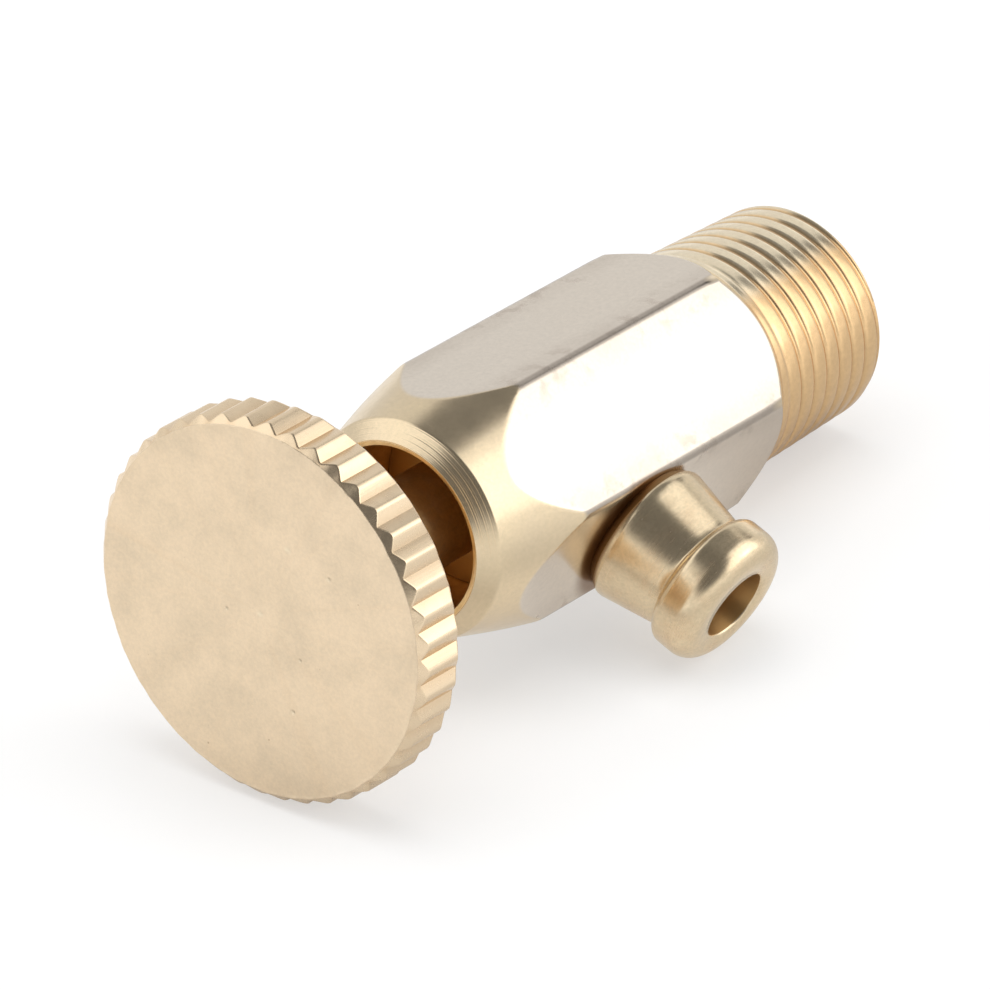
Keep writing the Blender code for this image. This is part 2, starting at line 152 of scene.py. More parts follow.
# painted highlight: share of pale brass at each dent's middle
KNOB_DENT_PAINTED_HIGHLIGHT = 0.7
HUB_RADIUS = 3.2
HUB_CHAMFER = 0.3
HUB_FOOT_WIDTH = 0.25
HUB_FOOT_HEIGHT = 0.1
KNOB_SOCKET_RADIUS = 1.53
KNOB_FACE_WALL = 1.2
PIN_HOLE_RADIUS = 0.53

# Hose nipple
NIPPLE_REACH = 10.2
NIPPLE_BORE_RADIUS = 1.5
NIPPLE_BORE_CHAMFER = 0.12
NIPPLE_SPIGOT_RADIUS = 2.2
NIPPLE_INNER = 2.98
NIPPLE_FOOT_HEIGHT = 4.9
NIPPLE_FOOT_RADIUS = 2.72
NIPPLE_BASE_HEIGHT = 5.48
NIPPLE_BASE_RADIUS = 3.07
NIPPLE_BASE_ROUND = 0.16
NIPPLE_NECK_RADIUS = 2.57
NIPPLE_NECK_RINGS = 12
BEAD_RADIUS = 3.0
BEAD_LENGTH = 2.13
BEAD_FRONT_RADIUS = 0.9
BEAD_BACK_RADIUS = 0.45
BEAD_HOLLOW_RADIUS = 0.15
SOCKET_RADIUS = 2.23
SOCKET_FLOOR = 2.95

# Painted shade round the nipple's foot, by distance from the nipple's axis, out from the valve axis and along it
PAINTED_SHADE_STRENGTH = 0.85
PAINTED_SHADE_FROM_TO = (3.1, 3.9)
PAINTED_SHADE_ABOVE = (APOTHEM - 0.3, APOTHEM - 0.02)
PAINTED_SHADE_ALONG = (-1.5, 1.5)

# Camera
CAMERA_AIM = Vector((-0.003782, 0.000066, 0.006979))
CAMERA_DISTANCE = 0.39087
CAMERA_BEARING = math.radians(-141.106)
CAMERA_ELEVATION = math.radians(31.641)
CAMERA_ROLL = math.radians(2.724)
CAMERA_LENS = 363.64
CAMERA_SENSOR = 36

# Finishes
DRAWN_BRASS = (0.83, 0.74, 0.63)
# the colour of the flats' stains, and of the painted shade towards their edges
STAIN_AND_SHADE_BRASS = (0.62, 0.53, 0.44)
EDGE_PAINTED_SHADE = (0.26, 0.22, 0.19)
TURNED_BRASS = (0.86, 0.70, 0.47)
THREAD_BRASS = (0.88, 0.60, 0.32)
KNURL_BRASS = (0.93, 0.74, 0.51)
DARK_BRASS = (0.42, 0.25, 0.10)
STAIN_BRASS = (0.80, 0.58, 0.36)
GREY_BRASS = (0.74, 0.61, 0.44)
AMBER_BRASS = (0.84, 0.56, 0.26)
GOLD_BRASS = (0.99, 0.72, 0.36)
BORE_BRASS = (0.95, 0.64, 0.30)
# painted shade: the brown that darkens the corner by the nipple's foot
PAINTED_SHADE_BROWN = (0.20, 0.10, 0.04)
PALE_BRASS = (0.98, 0.84, 0.61)
KNOB_BRASS = (0.91, 0.73, 0.515)
STEEL = (0.56, 0.56, 0.57)
PTFE = (0.86, 0.85, 0.80)

# The floor's own light: one level for the camera, and glows that only the brass mirrors. The near glow is
# given by two distances from the middle and its strength at each, the others by a bearing and the same
# along it.
FLOOR_HALF_SIZE = 2.0  # metres
FLOOR_WHITE = (0.5, 0.5, 0.5)
FLOOR_GLOW_SEEN = 0.5
FLOOR_NEAR_GLOW = (4, 15, 0.34, 0.0)
FLOOR_GLOWS = [(120, 0, 20, 0.12, 0.40), (-100, 0, 45, 0.0, 0.26), (-35, 40, 120, 0.0, 0.2)]

# The studio: a soft dome with patches, each by bearing, elevation, inner and outer angle and brightness.
# A later patch covers an earlier one. The lamp isn't mirrored in the brass; its sizes are in metres.
DOME_LEVEL = 0.75
DOME_PATCHES = [
    (132, 45, 25, 45, 1.15),
    (-176, 12, 7, 15, 0.90),
    (0, 90, 24, 32, 0.16),
    (-128, 45, 28, 44, 0.16),
    (15, 66, 20, 26, 0.22),
    (18, 11, 5, 10, 1.05),
    (-56, 54, 11, 17, 1.15),
    (-30, 46, 11, 14, 1.15),
    (-18, 37, 5, 9, 1.10),
    (-1, 31, 5, 8, 0.12),
    (-56, 21, 28, 34, 1.65),
    (-52, 20, 5, 11, 2.40),
    (-55, -40, 44, 53, 0.95),
]
LAMP_HEIGHT = 0.6
LAMP_SIZE = 0.5
LAMP_POWER = 2.0


def place_matrix(x_axis, y_axis, z_axis, origin):
    turn = Matrix((x_axis, y_axis, z_axis)).transposed().to_4x4()
    return Matrix.Translation(origin) @ turn


def outward(bearing, elevation):
    """Direction with this bearing from +X and this elevation above the floor."""
    level = math.cos(elevation)
    return Vector((level * math.cos(bearing), level * math.sin(bearing), math.sin(elevation)))


def valve_place():
    """Place of the valve and the way its nipple points: +Z along its axis, +X level on the nipple's side."""
    joints = {joint["name"]: joint for joint in frame["joints"]}
    mounts = {mount["name"]: mount for mount in frame["record"]["mounts"]}
    axis = Vector(joints["knob_turn"]["axis"]).normalized()
    on_axis = Vector(joints["knob_turn"]["pos_m"])
    inlet = Vector(mounts["inlet_face"]["pos_m"])
    origin = on_axis + axis * (inlet - on_axis).dot(axis)
    side = Vector(mounts["outlet_face"]["axis"]).normalized()
    level = Vector((0, 0, 1)).cross(axis).normalized()
    if level.dot(side) < 0:
        level = -level
    return place_matrix(level, axis.cross(level), axis, origin), side


def span(node):
    """Heights of a node's two ends along the valve axis."""
    piece = frame["nodes"][node]
    place = AXIS_PLACE.inverted() @ piece.matrix_world
    heights = [(place @ vert.co).z / MM for vert in piece.data.vertices]
    return min(heights), max(heights)


AXIS_PLACE, NIPPLE_SIDE = valve_place()
LEVEL, UPRIGHT, ALONG = (AXIS_PLACE.col[i].xyz for i in range(3))
FLAT_ANGLE = math.atan2(NIPPLE_SIDE.dot(UPRIGHT), NIPPLE_SIDE.dot(LEVEL))
BODY_LENGTH = span("valve_body")[1]
SPINDLE_NOSE, SPIGOT_END = span("spindle")
GLAND_NUT_BOTTOM, GLAND_NUT_TOP = span("gland_nut")
HUB_END, KNOB_FRONT = span("thumb_knob")
KNOB_BACK = KNOB_FRONT - KNOB_THICKNESS
PIN_HEIGHT = sum(span("knob_pin")) / 2
NIPPLE_HEIGHT = sum(span("hose_nipple")) / 2
NIPPLE_CENTRE = AXIS_PLACE @ Vector((0, 0, NIPPLE_HEIGHT * MM))
NIPPLE_PLACE = place_matrix(ALONG, NIPPLE_SIDE.cross(ALONG), NIPPLE_SIDE, NIPPLE_CENTRE)


def blend_min(first, second, width=EDGE_BREAK):
    """The smaller of two surfaces, with the edge between them rounded over that width."""
    share = np.clip(0.5 + 0.5 * (second - first) / width, 0, 1)
    return second * (1 - share) + first * share - width * share * (1 - share)


def ease_step(value):
    """A smooth rise from 0 to 1 while the value goes from 0 to 1."""
    value = np.clip(value, 0, 1)
    return value * value * (3 - 2 * value)


def rings(radii, heights, angles):
    """Grid of points, one row per height; radii and heights are one number per row or one per point."""
    radii = np.asarray(radii, float)
    if radii.ndim == 1:
        radii = radii[:, None]
    radii = np.broadcast_to(radii, (len(heights), len(angles)))
    heights = np.asarray(heights, float)
    if heights.ndim == 1:
        heights = heights[:, None]
    heights = np.broadcast_to(heights, radii.shape)
    return np.stack([radii * np.cos(angles), radii * np.sin(angles), heights], axis=-1)


def spun(outline, angles):
    """Grid of points of an outline of (radius, height) points spun about +Z."""
    radii, heights = zip(*outline)
    return rings(radii, heights, angles)


def skin(name, points, materials, zones=None, shares=None):
    """A closed surface over a grid of rings: the last ring joins the first.

    Zones give each row's material, shares are named values from 0 to 1 at each point.
    """
    rows, columns, _ = points.shape
    ids = np.arange(rows * columns).reshape(rows, columns)
    lower, upper = ids, np.roll(ids, -1, axis=0)
    quads = np.stack([lower, np.roll(lower, -1, axis=1), np.roll(upper, -1, axis=1), upper], axis=-1)
    mesh = bpy.data.meshes.new(name)
    mesh.from_pydata(points.reshape(-1, 3) * MM, [], quads.reshape(-1, 4).tolist())
    for share, values in (shares or {}).items():
        layer = mesh.attributes.new(share, "FLOAT", "POINT")
        layer.data.foreach_set("value", np.asarray(values, np.float32).ravel())
    if zones is not None:
        mesh.polygons.foreach_set("material_index", np.repeat(np.asarray(zones, np.int32), columns))
    for material in materials:
        mesh.materials.append(material)
    tidy_mesh(mesh)
    piece = bpy.data.objects.new(name, mesh)
    bpy.context.scene.collection.objects.link(piece)
    return piece


def tidy_mesh(mesh):
    """Join points that fall together, face the surface outwards and shade it smooth."""
    bm = bmesh.new()
    bm.from_mesh(mesh)
    bmesh.ops.remove_doubles(bm, verts=bm.verts, dist=MERGE_DISTANCE)
    bmesh.ops.recalc_face_normals(bm, faces=bm.faces)
    bm.to_mesh(mesh)
    bm.free()
    mesh.shade_smooth()
    mesh.set_sharp_from_angle(angle=SHARP_ANGLE)


def lathe(name, outline, materials, segments=96, zones=None):
    """Spin a closed outline of (radius, height) points about +Z."""
    angles = np.linspace(0, math.tau, segments, endpoint=False)
    return skin(name, spun(outline, angles), materials, zones)


def eased(outline, width=EDGE_BREAK, largest_share=0.45):
    """Break the corners of an outline: each becomes a short curve of three points."""
    points = [Vector(point) for point in outline]
    result = []
    for i, corner in enumerate(points):
        if corner.x == 0:
            result.append(corner)
            continue
        before, after = points[i - 1] - corner, points[(i + 1) % len(points)] - corner
        start = corner + before.normalized() * min(width, before.length * largest_share)
        stop = corner + after.normalized() * min(width, after.length * largest_share)
        result += [start, (start + 2 * corner + stop) / 4, stop]
    return [tuple(point) for point in result]


def arc(centre, radius, start, stop, steps=14):
    angles = np.linspace(start, stop, steps)
    return [(centre[0] + radius * math.cos(a), centre[1] + radius * math.sin(a)) for a in angles]


def cut(piece, cutter, place):
    """Cut a hole with another closed mesh, then drop that mesh."""
    cutter.matrix_world = place
    modifier = piece.modifiers.new("cut", "BOOLEAN")
    modifier.operation = "DIFFERENCE"
    modifier.solver = "EXACT"
    modifier.object = cutter
    bpy.context.view_layer.update()
    result = piece.evaluated_get(bpy.context.evaluated_depsgraph_get())
    mesh = bpy.data.meshes.new_from_object(result)
    piece.modifiers.clear()
    piece.data = mesh
    bpy.data.objects.remove(cutter)
    mesh.set_sharp_from_angle(angle=SHARP_ANGLE)


def settle(piece, place, body, node):
    """Put a finished piece in place of its CAD node, riding on that node's body."""
    piece.matrix_world = place
    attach(piece, body)
    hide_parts(node)


class Graph:
    """A node tree built by calls. Each input is a plain value or another node's output."""

    def __init__(self, tree):
        self.tree = tree
        tree.nodes.clear()

    def add(self, kind, inputs, **settings):
        node = self.tree.nodes.new("ShaderNode" + kind)
        for name, value in settings.items():
            setattr(node, name, value)
        for name, value in inputs.items():
            if isinstance(value, bpy.types.NodeSocket):
                self.tree.links.new(value, node.inputs[name])
            else:
                node.inputs[name].default_value = value
        return node

    def math(self, operation, first, second):
        return self.add("Math", {0: first, 1: second}, operation=operation).outputs[0]

    def times(self, first, second):
        return self.math("MULTIPLY", first, second)

    def vector(self, operation, first, second=(0, 0, 0)):
        return self.add("VectorMath", {0: first, 1: second}, operation=operation).outputs[0]

    def measure(self, operation, first, second=(0, 0, 0)):
        """A number from one or two vectors, such as their distance."""
        return self.add("VectorMath", {0: first, 1: second}, operation=operation).outputs["Value"]

    def part(self, at, index):
        """One coordinate of a place."""
        return self.add("SeparateXYZ", {0: at}).outputs[index]

    def noise(self, at, scale, detail=4.0, roughness=0.6):
        inputs = {"Vector": at, "Scale": scale, "Detail": detail, "Roughness": roughness}
        return self.add("TexNoise", inputs).outputs["Fac"]

    def ramp(self, value, low, high, to_low=0.0, to_high=1.0):
        """Map a range smoothly onto another, held at both ends."""
        inputs = {"Value": value, "From Min": low, "From Max": high, "To Min": to_low, "To Max": to_high}
        return self.add("MapRange", inputs, interpolation_type="SMOOTHSTEP").outputs[0]

    def mix(self, share, first, second):
        """Mix two numbers."""
        return self.add("Mix", {0: share, 2: first, 3: second}, data_type="FLOAT").outputs[0]

    def tint(self, share, first, second):
        """Mix two colours."""
        first, second = (c if isinstance(c, bpy.types.NodeSocket) else (*c, 1) for c in (first, second))
        return self.add("Mix", {0: share, 6: first, 7: second}, data_type="RGBA").outputs[2]

    def spots(self, at, spacing, size, share):
        """Round spots of up to this radius, in this share of the cells of that spacing."""
        cells = self.add("TexVoronoi", {"Vector": at, "Scale": 1 / spacing})
        chance = self.add("SeparateColor", {0: cells.outputs["Color"]}).outputs[0]
        reach = self.ramp(chance, 1 - share, 1, -size / spacing, size / spacing)
        inside = self.math("SUBTRACT", reach, cells.outputs["Distance"])
        return self.ramp(inside, 0.0, 0.6 * size / spacing)

    def share(self, name):
        """A value stored at the points of the mesh."""
        return self.add("Attribute", {}, attribute_name=name).outputs["Fac"]

    def place(self):
        """Place on the piece, in millimetres."""
        at = self.add("TexCoord", {}).outputs["Object"]
        return self.vector("MULTIPLY", at, (1 / MM, 1 / MM, 1 / MM))

    def round_place(self, at):
        """Distance from the axis and height, which stay the same all the way round."""
        radius = self.measure("LENGTH", self.vector("MULTIPLY", at, (1, 1, 0)))
        return self.add("CombineXYZ", {0: radius, 2: self.part(at, 2)}).outputs[0]

    def bearing(self, at):
        """Direction from the axis, which stays the same at all heights and distances."""
        return self.vector("NORMALIZE", self.vector("MULTIPLY", at, (1, 1, 0)))

    def surface(self, colour, roughness, height, depth, metallic=1.0):
        """End the tree with a shader whose fine relief is this many millimetres deep."""
        bump = self.add("Bump", {"Height": height, "Distance": depth * MM, "Strength": 1.0})
        inputs = {"Base Color": colour, "Roughness": roughness, "Metallic": metallic,
                  "Normal": bump.outputs[0]}
        shader = self.add("BsdfPrincipled", inputs)
        self.add("OutputMaterial", {"Surface": shader.outputs[0]})


def new_graph(name):
    material = bpy.data.materials.new(name)
    material.use_nodes = True
    return material, Graph(material.node_tree)


def turning_marks(graph, at, spacing):
    """Fine grooves that a cutting tool leaves round a turned piece."""
    return graph.noise(graph.round_place(at), 1 / spacing)


def drawn_marks(graph, at):
    """Streaks along the bar, left by the die that it was drawn through."""
    return graph.noise(graph.vector("MULTIPLY", at, (7.0, 7.0, 0.12)), 1.0, 5.0)


def speckled(graph, at, colour, scale, amount):
    """The colour with a fine dark and light grain."""
    level = graph.ramp(graph.noise(at, scale, 3.0), 0.25, 0.75, 1 - amount, 1 + amount)
    return graph.add("VectorMath", {0: colour, 3: level}, operation="SCALE").outputs[0]


def nipple_painted_shade(graph, at):
    """Share of painted shade in the corner between the flat and the nipple's foot, on the knob's side."""
    side = (math.cos(FLAT_ANGLE), math.sin(FLAT_ANGLE), 0)
    out = graph.vector("SUBTRACT", at, (0, 0, NIPPLE_HEIGHT))
    away = graph.measure("LENGTH", graph.vector("CROSS_PRODUCT", out, side))
    on_flat = graph.ramp(graph.measure("DOT_PRODUCT", out, side), *PAINTED_SHADE_ABOVE)
    by_knob = graph.ramp(graph.part(out, 2), *PAINTED_SHADE_ALONG)
    by_foot = graph.ramp(away, *PAINTED_SHADE_FROM_TO, PAINTED_SHADE_STRENGTH, 0.0)
    return graph.times(graph.times(on_flat, by_knob), by_foot)


def flat_finish(graph, cloud, mottle, specks):
    """Colour and roughness of the drawn flats: stained by their edges, greyed towards the edges and dark on the
    rounded edges by painted shade.
    """
    near_edge = graph.share("near_edge")
    by_edge = graph.times(near_edge, graph.ramp(mottle, 0.45, 0.68, 0.0, 0.8))
    stain = graph.math("MAXIMUM", by_edge, graph.times(specks, 0.45))
    # painted shade: the flats grow greyer towards their edges
    painted_shade_by_edge = graph.times(near_edge, graph.ramp(cloud, 0.3, 0.6, 0.5, 0.2))
    colour = graph.tint(graph.math("MAXIMUM", painted_shade_by_edge, stain), DRAWN_BRASS, STAIN_AND_SHADE_BRASS)
    # painted shade: a dark line along each rounded edge
    colour = graph.tint(graph.times(graph.share("on_edge"), 0.55), colour, EDGE_PAINTED_SHADE)
    rough = graph.math("ADD", graph.ramp(cloud, 0.3, 0.7, 0.16, 0.24), graph.times(stain, 0.1))
    return colour, rough


def turned_finish(graph, cloud, mottle, specks):
    """Colour and roughness of the body's turned ends: clouded, with a few dark specks."""
    colour = graph.tint(graph.ramp(cloud, 0.25, 0.75, 0.0, 0.4), TURNED_BRASS, GREY_BRASS)
    colour = graph.tint(graph.times(specks, 0.35), colour, DARK_BRASS)
    return colour, graph.ramp(mottle, 0.2, 0.8, 0.19, 0.27)


def body_material():
    """Drawn flats and turned ends, told apart by where the hexagon shows."""
    material, graph = new_graph("body_brass_look")
    at = graph.place()
    drawn = graph.share("drawn")
    cloud = graph.noise(at, 0.35, 3.0, 0.5)
    mottle = graph.noise(at, 1.1)
    specks = graph.spots(at, 0.8, 0.06, 0.25)
    flat_colour, flat_rough = flat_finish(graph, cloud, mottle, specks)
    turned_colour, turned_rough = turned_finish(graph, cloud, mottle, specks)
    colour = speckled(graph, at, graph.tint(drawn, turned_colour, flat_colour), 6.0, 0.035)
    # painted shade: the corner between the flat and the nipple's foot is darkened brown
    colour = graph.tint(nipple_painted_shade(graph, at), colour, PAINTED_SHADE_BROWN)
    relief = graph.mix(drawn, turning_marks(graph, at, 0.08), drawn_marks(graph, at))
    graph.surface(colour, graph.mix(drawn, turned_rough, flat_rough), relief, 0.001)
    return material


def thread_material():
    """Cut brass, golden below and pale on the crests above as a painted highlight, and darker in patches in the
    grooves.
    """
    material, graph = new_graph("thread_brass_look")
    at = graph.place()
    groove = graph.share("groove")
    # the grooves are darker, in patches
    thread_patches = graph.noise(at, 1.4)
    groove_darkening = graph.times(graph.ramp(groove, 0.4, 1.0, 0.0, 0.3), graph.ramp(thread_patches, 0.3, 0.7, 0.5, 1.0))
    # painted highlight: the crests on the thread's upper side are paler
    above = graph.ramp(graph.part(at, 1), *THREAD_PAINTED_HIGHLIGHT_FROM_TO)
    painted_highlight = graph.times(above, graph.ramp(groove, 0.1, 0.7, 1.0, 0.2))
    colour = graph.tint(groove_darkening, graph.tint(painted_highlight, THREAD_BRASS, PALE_BRASS), DARK_BRASS)
    graph.surface(speckled(graph, at, colour, 5.0, 0.05), graph.ramp(thread_patches, 0.2, 0.8, 0.18, 0.26),
                  turning_marks(graph, at, 0.06), 0.001)
    return material


def bore_material(name, colour, inner_colour=None):
    """Dull drilled brass, browned in places, turning to a second colour further in as a painted shade."""
    material, graph = new_graph(name)
    at = graph.place()
    blotch = graph.noise(at, 0.8)
    # painted shade: the first colour near the mouth, the second deeper in
    outer = graph.ramp(graph.part(at, 2), BODY_LENGTH - PAINTED_SHADE_DEPTH, BODY_LENGTH)
    colour = graph.tint(outer, inner_colour or colour, colour)
    colour = graph.tint(graph.ramp(blotch, 0.3, 0.75, 0.0, 0.4), colour, DARK_BRASS)
    graph.surface(colour, graph.ramp(blotch, 0.3, 0.7, 0.38, 0.5), turning_marks(graph, at, 0.15), 0.003)
    return material


def turned_material(name, colour, rough, spacing=0.1):
    """Turned brass with rings of tool marks and a few dull patches."""
    material, graph = new_graph(name)
    at = graph.place()
    marks = turning_marks(graph, at, spacing)
    dull = graph.ramp(graph.noise(at, 0.9), 0.4, 0.8, 0.0, 0.5)
    colour = speckled(graph, at, graph.tint(dull, colour, STAIN_BRASS), 7.0, 0.06)
    roughness = graph.math("ADD", graph.ramp(marks, 0.3, 0.7, rough, rough + 0.08), graph.times(dull, 0.1))
    graph.surface(colour, roughness, marks, 0.001)
    return material


def knob_face_material():
    """Satin face: fine grain, grey clouds, faint radial streaks of painted reflection, short scratches, pits and a
    few dents with a painted highlight at each middle.
    """
    material, graph = new_graph("knob_face_look")
    at = graph.place()
    cloud = graph.noise(at, 0.5, 5.0)
    pits = graph.spots(at, 0.6, 0.06, 0.4)
    radial_sheen = graph.noise(graph.bearing(at), 7.0)
    scratched = graph.noise(graph.vector("MULTIPLY", at, (0.8, 12.0, 12.0)), 1.0, 3.0)
    grain = graph.noise(at, 8.0, roughness=0.7)
    colour = graph.tint(graph.ramp(cloud, 0.35, 0.75, 0.0, 0.55), KNOB_BRASS, GREY_BRASS)
    # painted reflection: faint streaks tinted by bearing round the axis
    colour = graph.tint(graph.ramp(radial_sheen, 0.5, 0.8, 0.0, 0.2), colour, STAIN_BRASS)
    colour = graph.tint(graph.times(pits, 0.5), colour, DARK_BRASS)
    colour = speckled(graph, at, colour, 7.0, 0.04)
    relief = graph.math("SUBTRACT", graph.mix(0.25, grain, graph.ramp(scratched, 0.66, 0.74)), pits)
    for x, y, size in KNOB_DENTS:
        away = graph.measure("DISTANCE", at, (x, y, KNOB_FRONT))
        relief = graph.math("SUBTRACT", relief, graph.ramp(away, 0.0, size, KNOB_DENT_DEPTH, 0.0))
        # painted highlight: each dent is paler at its middle
        colour = graph.tint(graph.ramp(away, 0.0, size, KNOB_DENT_PAINTED_HIGHLIGHT, 0.0), colour, PALE_BRASS)
    rough = graph.ramp(cloud, 0.3, 0.7, 0.34, 0.42)
    rough = graph.math("ADD", rough, graph.ramp(grain, 0.3, 0.7, -0.05, 0.05))
    graph.surface(colour, rough, relief, 0.004)
    return material


def knurl_material():
    """Rolled facets with fine lines along the knob's axis."""
    material, graph = new_graph("knurl_look")
    at = graph.place()
    lines = graph.noise(graph.vector("MULTIPLY", at, (9.0, 9.0, 0.5)), 1.0)
    # the knurl is warmer and darker towards the roots of its grooves
    toward_roots = graph.ramp(graph.share("groove"), 0.3, 1.0, 0.0, 0.4)
    rough = graph.ramp(graph.noise(at, 2.0), 0.3, 0.7, 0.20, 0.30)
    graph.surface(graph.tint(toward_roots, KNURL_BRASS, STAIN_BRASS), rough, lines, 0.0025)
    return material


def plain_material(name, colour, metallic, low_rough, high_rough):
    """Ground steel or moulded PTFE, with a fine grain."""
    material, graph = new_graph(name)
    grain = graph.noise(graph.place(), 14.0)
    shade = tuple(part * 0.8 for part in colour)
    graph.surface(graph.tint(graph.ramp(grain, 0.4, 0.7, 0.0, 0.5), colour, shade),
                  graph.ramp(grain, 0.3, 0.7, low_rough, high_rough), grain, 0.003, metallic)
    return material


def hexagon_radius(angles):
    """Distance from the axis to the drawn bar, whose long edges are rounded, and two shares.

    The first share rises towards an edge of the flat, the second over the rounding itself.
    """
    off = np.abs((angles - FLAT_ANGLE + SIXTH / 2) % SIXTH - SIXTH / 2)
    from_edge = SIXTH / 2 - off
    centre = (APOTHEM - HEX_EDGE_ROUND) / math.cos(SIXTH / 2)
    inside = np.maximum(HEX_EDGE_ROUND ** 2 - (centre * np.sin(from_edge)) ** 2, 0)
    rounded = centre * np.cos(from_edge) + np.sqrt(inside)
    radius = np.where(off > HEX_EDGE_START, rounded, APOTHEM / np.cos(off))
    near_edge = ease_step(2 * off / HEX_EDGE_START - 1)
    on_edge = ease_step(HEX_EDGE_LINE_RISE * (off - HEX_EDGE_START) / (SIXTH / 2 - HEX_EDGE_START))
    return radius, near_edge, on_edge


def hexagon_angles(flat_steps=60, edge_steps=16):
    """Angles round the bar, close together on its rounded edges."""
    flat = np.linspace(-HEX_EDGE_START, HEX_EDGE_START, flat_steps, endpoint=False)
    edge = np.linspace(HEX_EDGE_START, SIXTH - HEX_EDGE_START, edge_steps, endpoint=False)
    sector = np.concatenate([flat, edge])
    return FLAT_ANGLE + np.concatenate([sector + side * SIXTH for side in range(6)])


def thread_radius(heights):
    """Radius over the thread's crests."""
    return THREAD_GAUGE_RADIUS + (heights - THREAD_GAUGE_HEIGHT) * THREAD_FLARE


def thread_surface(heights, angles):
    """Radius of the helical thread, and how deep in its groove each point lies."""
    turn = heights / THREAD_PITCH - angles / math.tau
    wave = np.cos(math.pi * turn) ** 2
    runout = ease_step((THREAD_LENGTH - heights) / THREAD_RUNOUT)
    groove = np.exp(-wave / THREAD_GROOVE_WIDTH ** 2) * runout
    ridge = thread_radius(heights) - THREAD_DEPTH * groove - THREAD_CREST_ROUND * (1 - wave)
    end_chamfer = thread_radius(0) - THREAD_END_CHAMFER + heights
    return blend_min(ridge, end_chamfer), groove


def collar_radius(heights):
    """Bevelled end round the mouth, with the fine grooves of its last cut."""
    setback = BODY_LENGTH - heights
    slope = (COLLAR_RADIUS - LIP_RADIUS) / COLLAR_SETBACK
    waves = sum(np.sin(math.tau * setback / spacing) for spacing in COLLAR_GROOVE_SPACINGS)
    return LIP_RADIUS + setback * slope + COLLAR_GROOVE_DEPTH * waves


def body_outside(heights, angles):
    """Radius of the body's outside, with the shares that its finishes need."""
    heights = heights[:, None]
    angles = angles[None, :]
    thread, groove = thread_surface(heights, angles)
    shoulder = thread_radius(THREAD_LENGTH) + (heights - THREAD_LENGTH) * SHOULDER_SLOPE
    lower = np.where(heights < THREAD_LENGTH, thread, shoulder)
    nose = COLLAR_RADIUS + (BODY_LENGTH - COLLAR_SETBACK - heights) * NOSE_SLOPE
    turned = blend_min(blend_min(lower, nose), collar_radius(heights))
    bar, near_edge, on_edge = hexagon_radius(angles)
    drawn = np.clip(0.5 + (turned - bar) / EDGE_BREAK, 0, 1)
    shares = {"drawn": drawn, "groove": groove, "near_edge": np.broadcast_to(near_edge, drawn.shape),
              "on_edge": np.broadcast_to(on_edge, drawn.shape)}
    return blend_min(turned, bar), shares


def body_inside():
    """Outline of the hollow, from the lip of the mouth down to the inlet face."""
    gland_floor = BODY_LENGTH - GLAND_BORE_DEPTH
    orifice_bottom = SEAT_HEIGHT - ORIFICE_LENGTH
    return [(LIP_RADIUS - EDGE_BREAK, BODY_LENGTH), (GLAND_BORE_RADIUS, BODY_LENGTH - LIP_DEPTH),
            (GLAND_BORE_RADIUS, gland_floor), (STEM_BORE_RADIUS, gland_floor),
            (STEM_BORE_RADIUS, SEAT_HEIGHT + STEM_BORE_RADIUS - ORIFICE_RADIUS),
            (ORIFICE_RADIUS, SEAT_HEIGHT), (ORIFICE_RADIUS, orifice_bottom),
            (INLET_RADIUS, orifice_bottom - (INLET_RADIUS - ORIFICE_RADIUS) * DRILL_POINT_SLOPE),
            (INLET_RADIUS, INLET_CHAMFER), (INLET_RADIUS + INLET_CHAMFER, 0)]


def body_heights():
    """Heights of the body's rings: close on the thread, the nose and the collar, wide on the plain bar."""
    shoulder_end = THREAD_LENGTH + SHOULDER_ROOM
    nose_start = BODY_LENGTH - NOSE_ROOM
    collar = BODY_LENGTH - COLLAR_SETBACK
    return np.concatenate([np.arange(0, shoulder_end, THREAD_RING_STEP),
                           np.arange(shoulder_end, nose_start, BAR_RING_STEP),
                           np.arange(nose_start, collar, NOSE_RING_STEP),
                           np.linspace(collar, BODY_LENGTH, COLLAR_RINGS)])


def nipple_socket(materials):
    """A cutter for the hole that the nipple sits in."""
    top = APOTHEM + CUT_ROOM
    outline = [(0, 0), (NIPPLE_BORE_RADIUS, 0), (NIPPLE_BORE_RADIUS, SOCKET_FLOOR),
               (SOCKET_RADIUS, SOCKET_FLOOR), (SOCKET_RADIUS, top), (0, top)]
    return lathe("socket", outline, materials, zones=[BORE_ZONE] * len(outline))


def make_body():
    # painted shade: gold at the mouth, darker amber deeper in the bore
    bore = bore_material("bore_brass_look", GOLD_BRASS, BORE_BRASS)
    materials = [body_material(), thread_material(), bore]
    angles = hexagon_angles()
    heights = body_heights()
    radii, shares = body_outside(heights, angles)
    inner = spun(body_inside(), angles)
    unused = np.zeros(inner.shape[:2])
    outer_zones = np.where(heights < THREAD_FINISH_LENGTH, THREAD_ZONE, BODY_ZONE)
    zones = np.concatenate([outer_zones, np.full(len(inner), BORE_ZONE)])
    body = skin("body_skin", np.concatenate([rings(radii, heights, angles), inner]), materials, zones,
                {name: np.concatenate([values, unused]) for name, values in shares.items()})
    body.matrix_world = AXIS_PLACE
    cut(body, nipple_socket(materials), NIPPLE_PLACE)
    settle(body, AXIS_PLACE, "body", "valve_body")


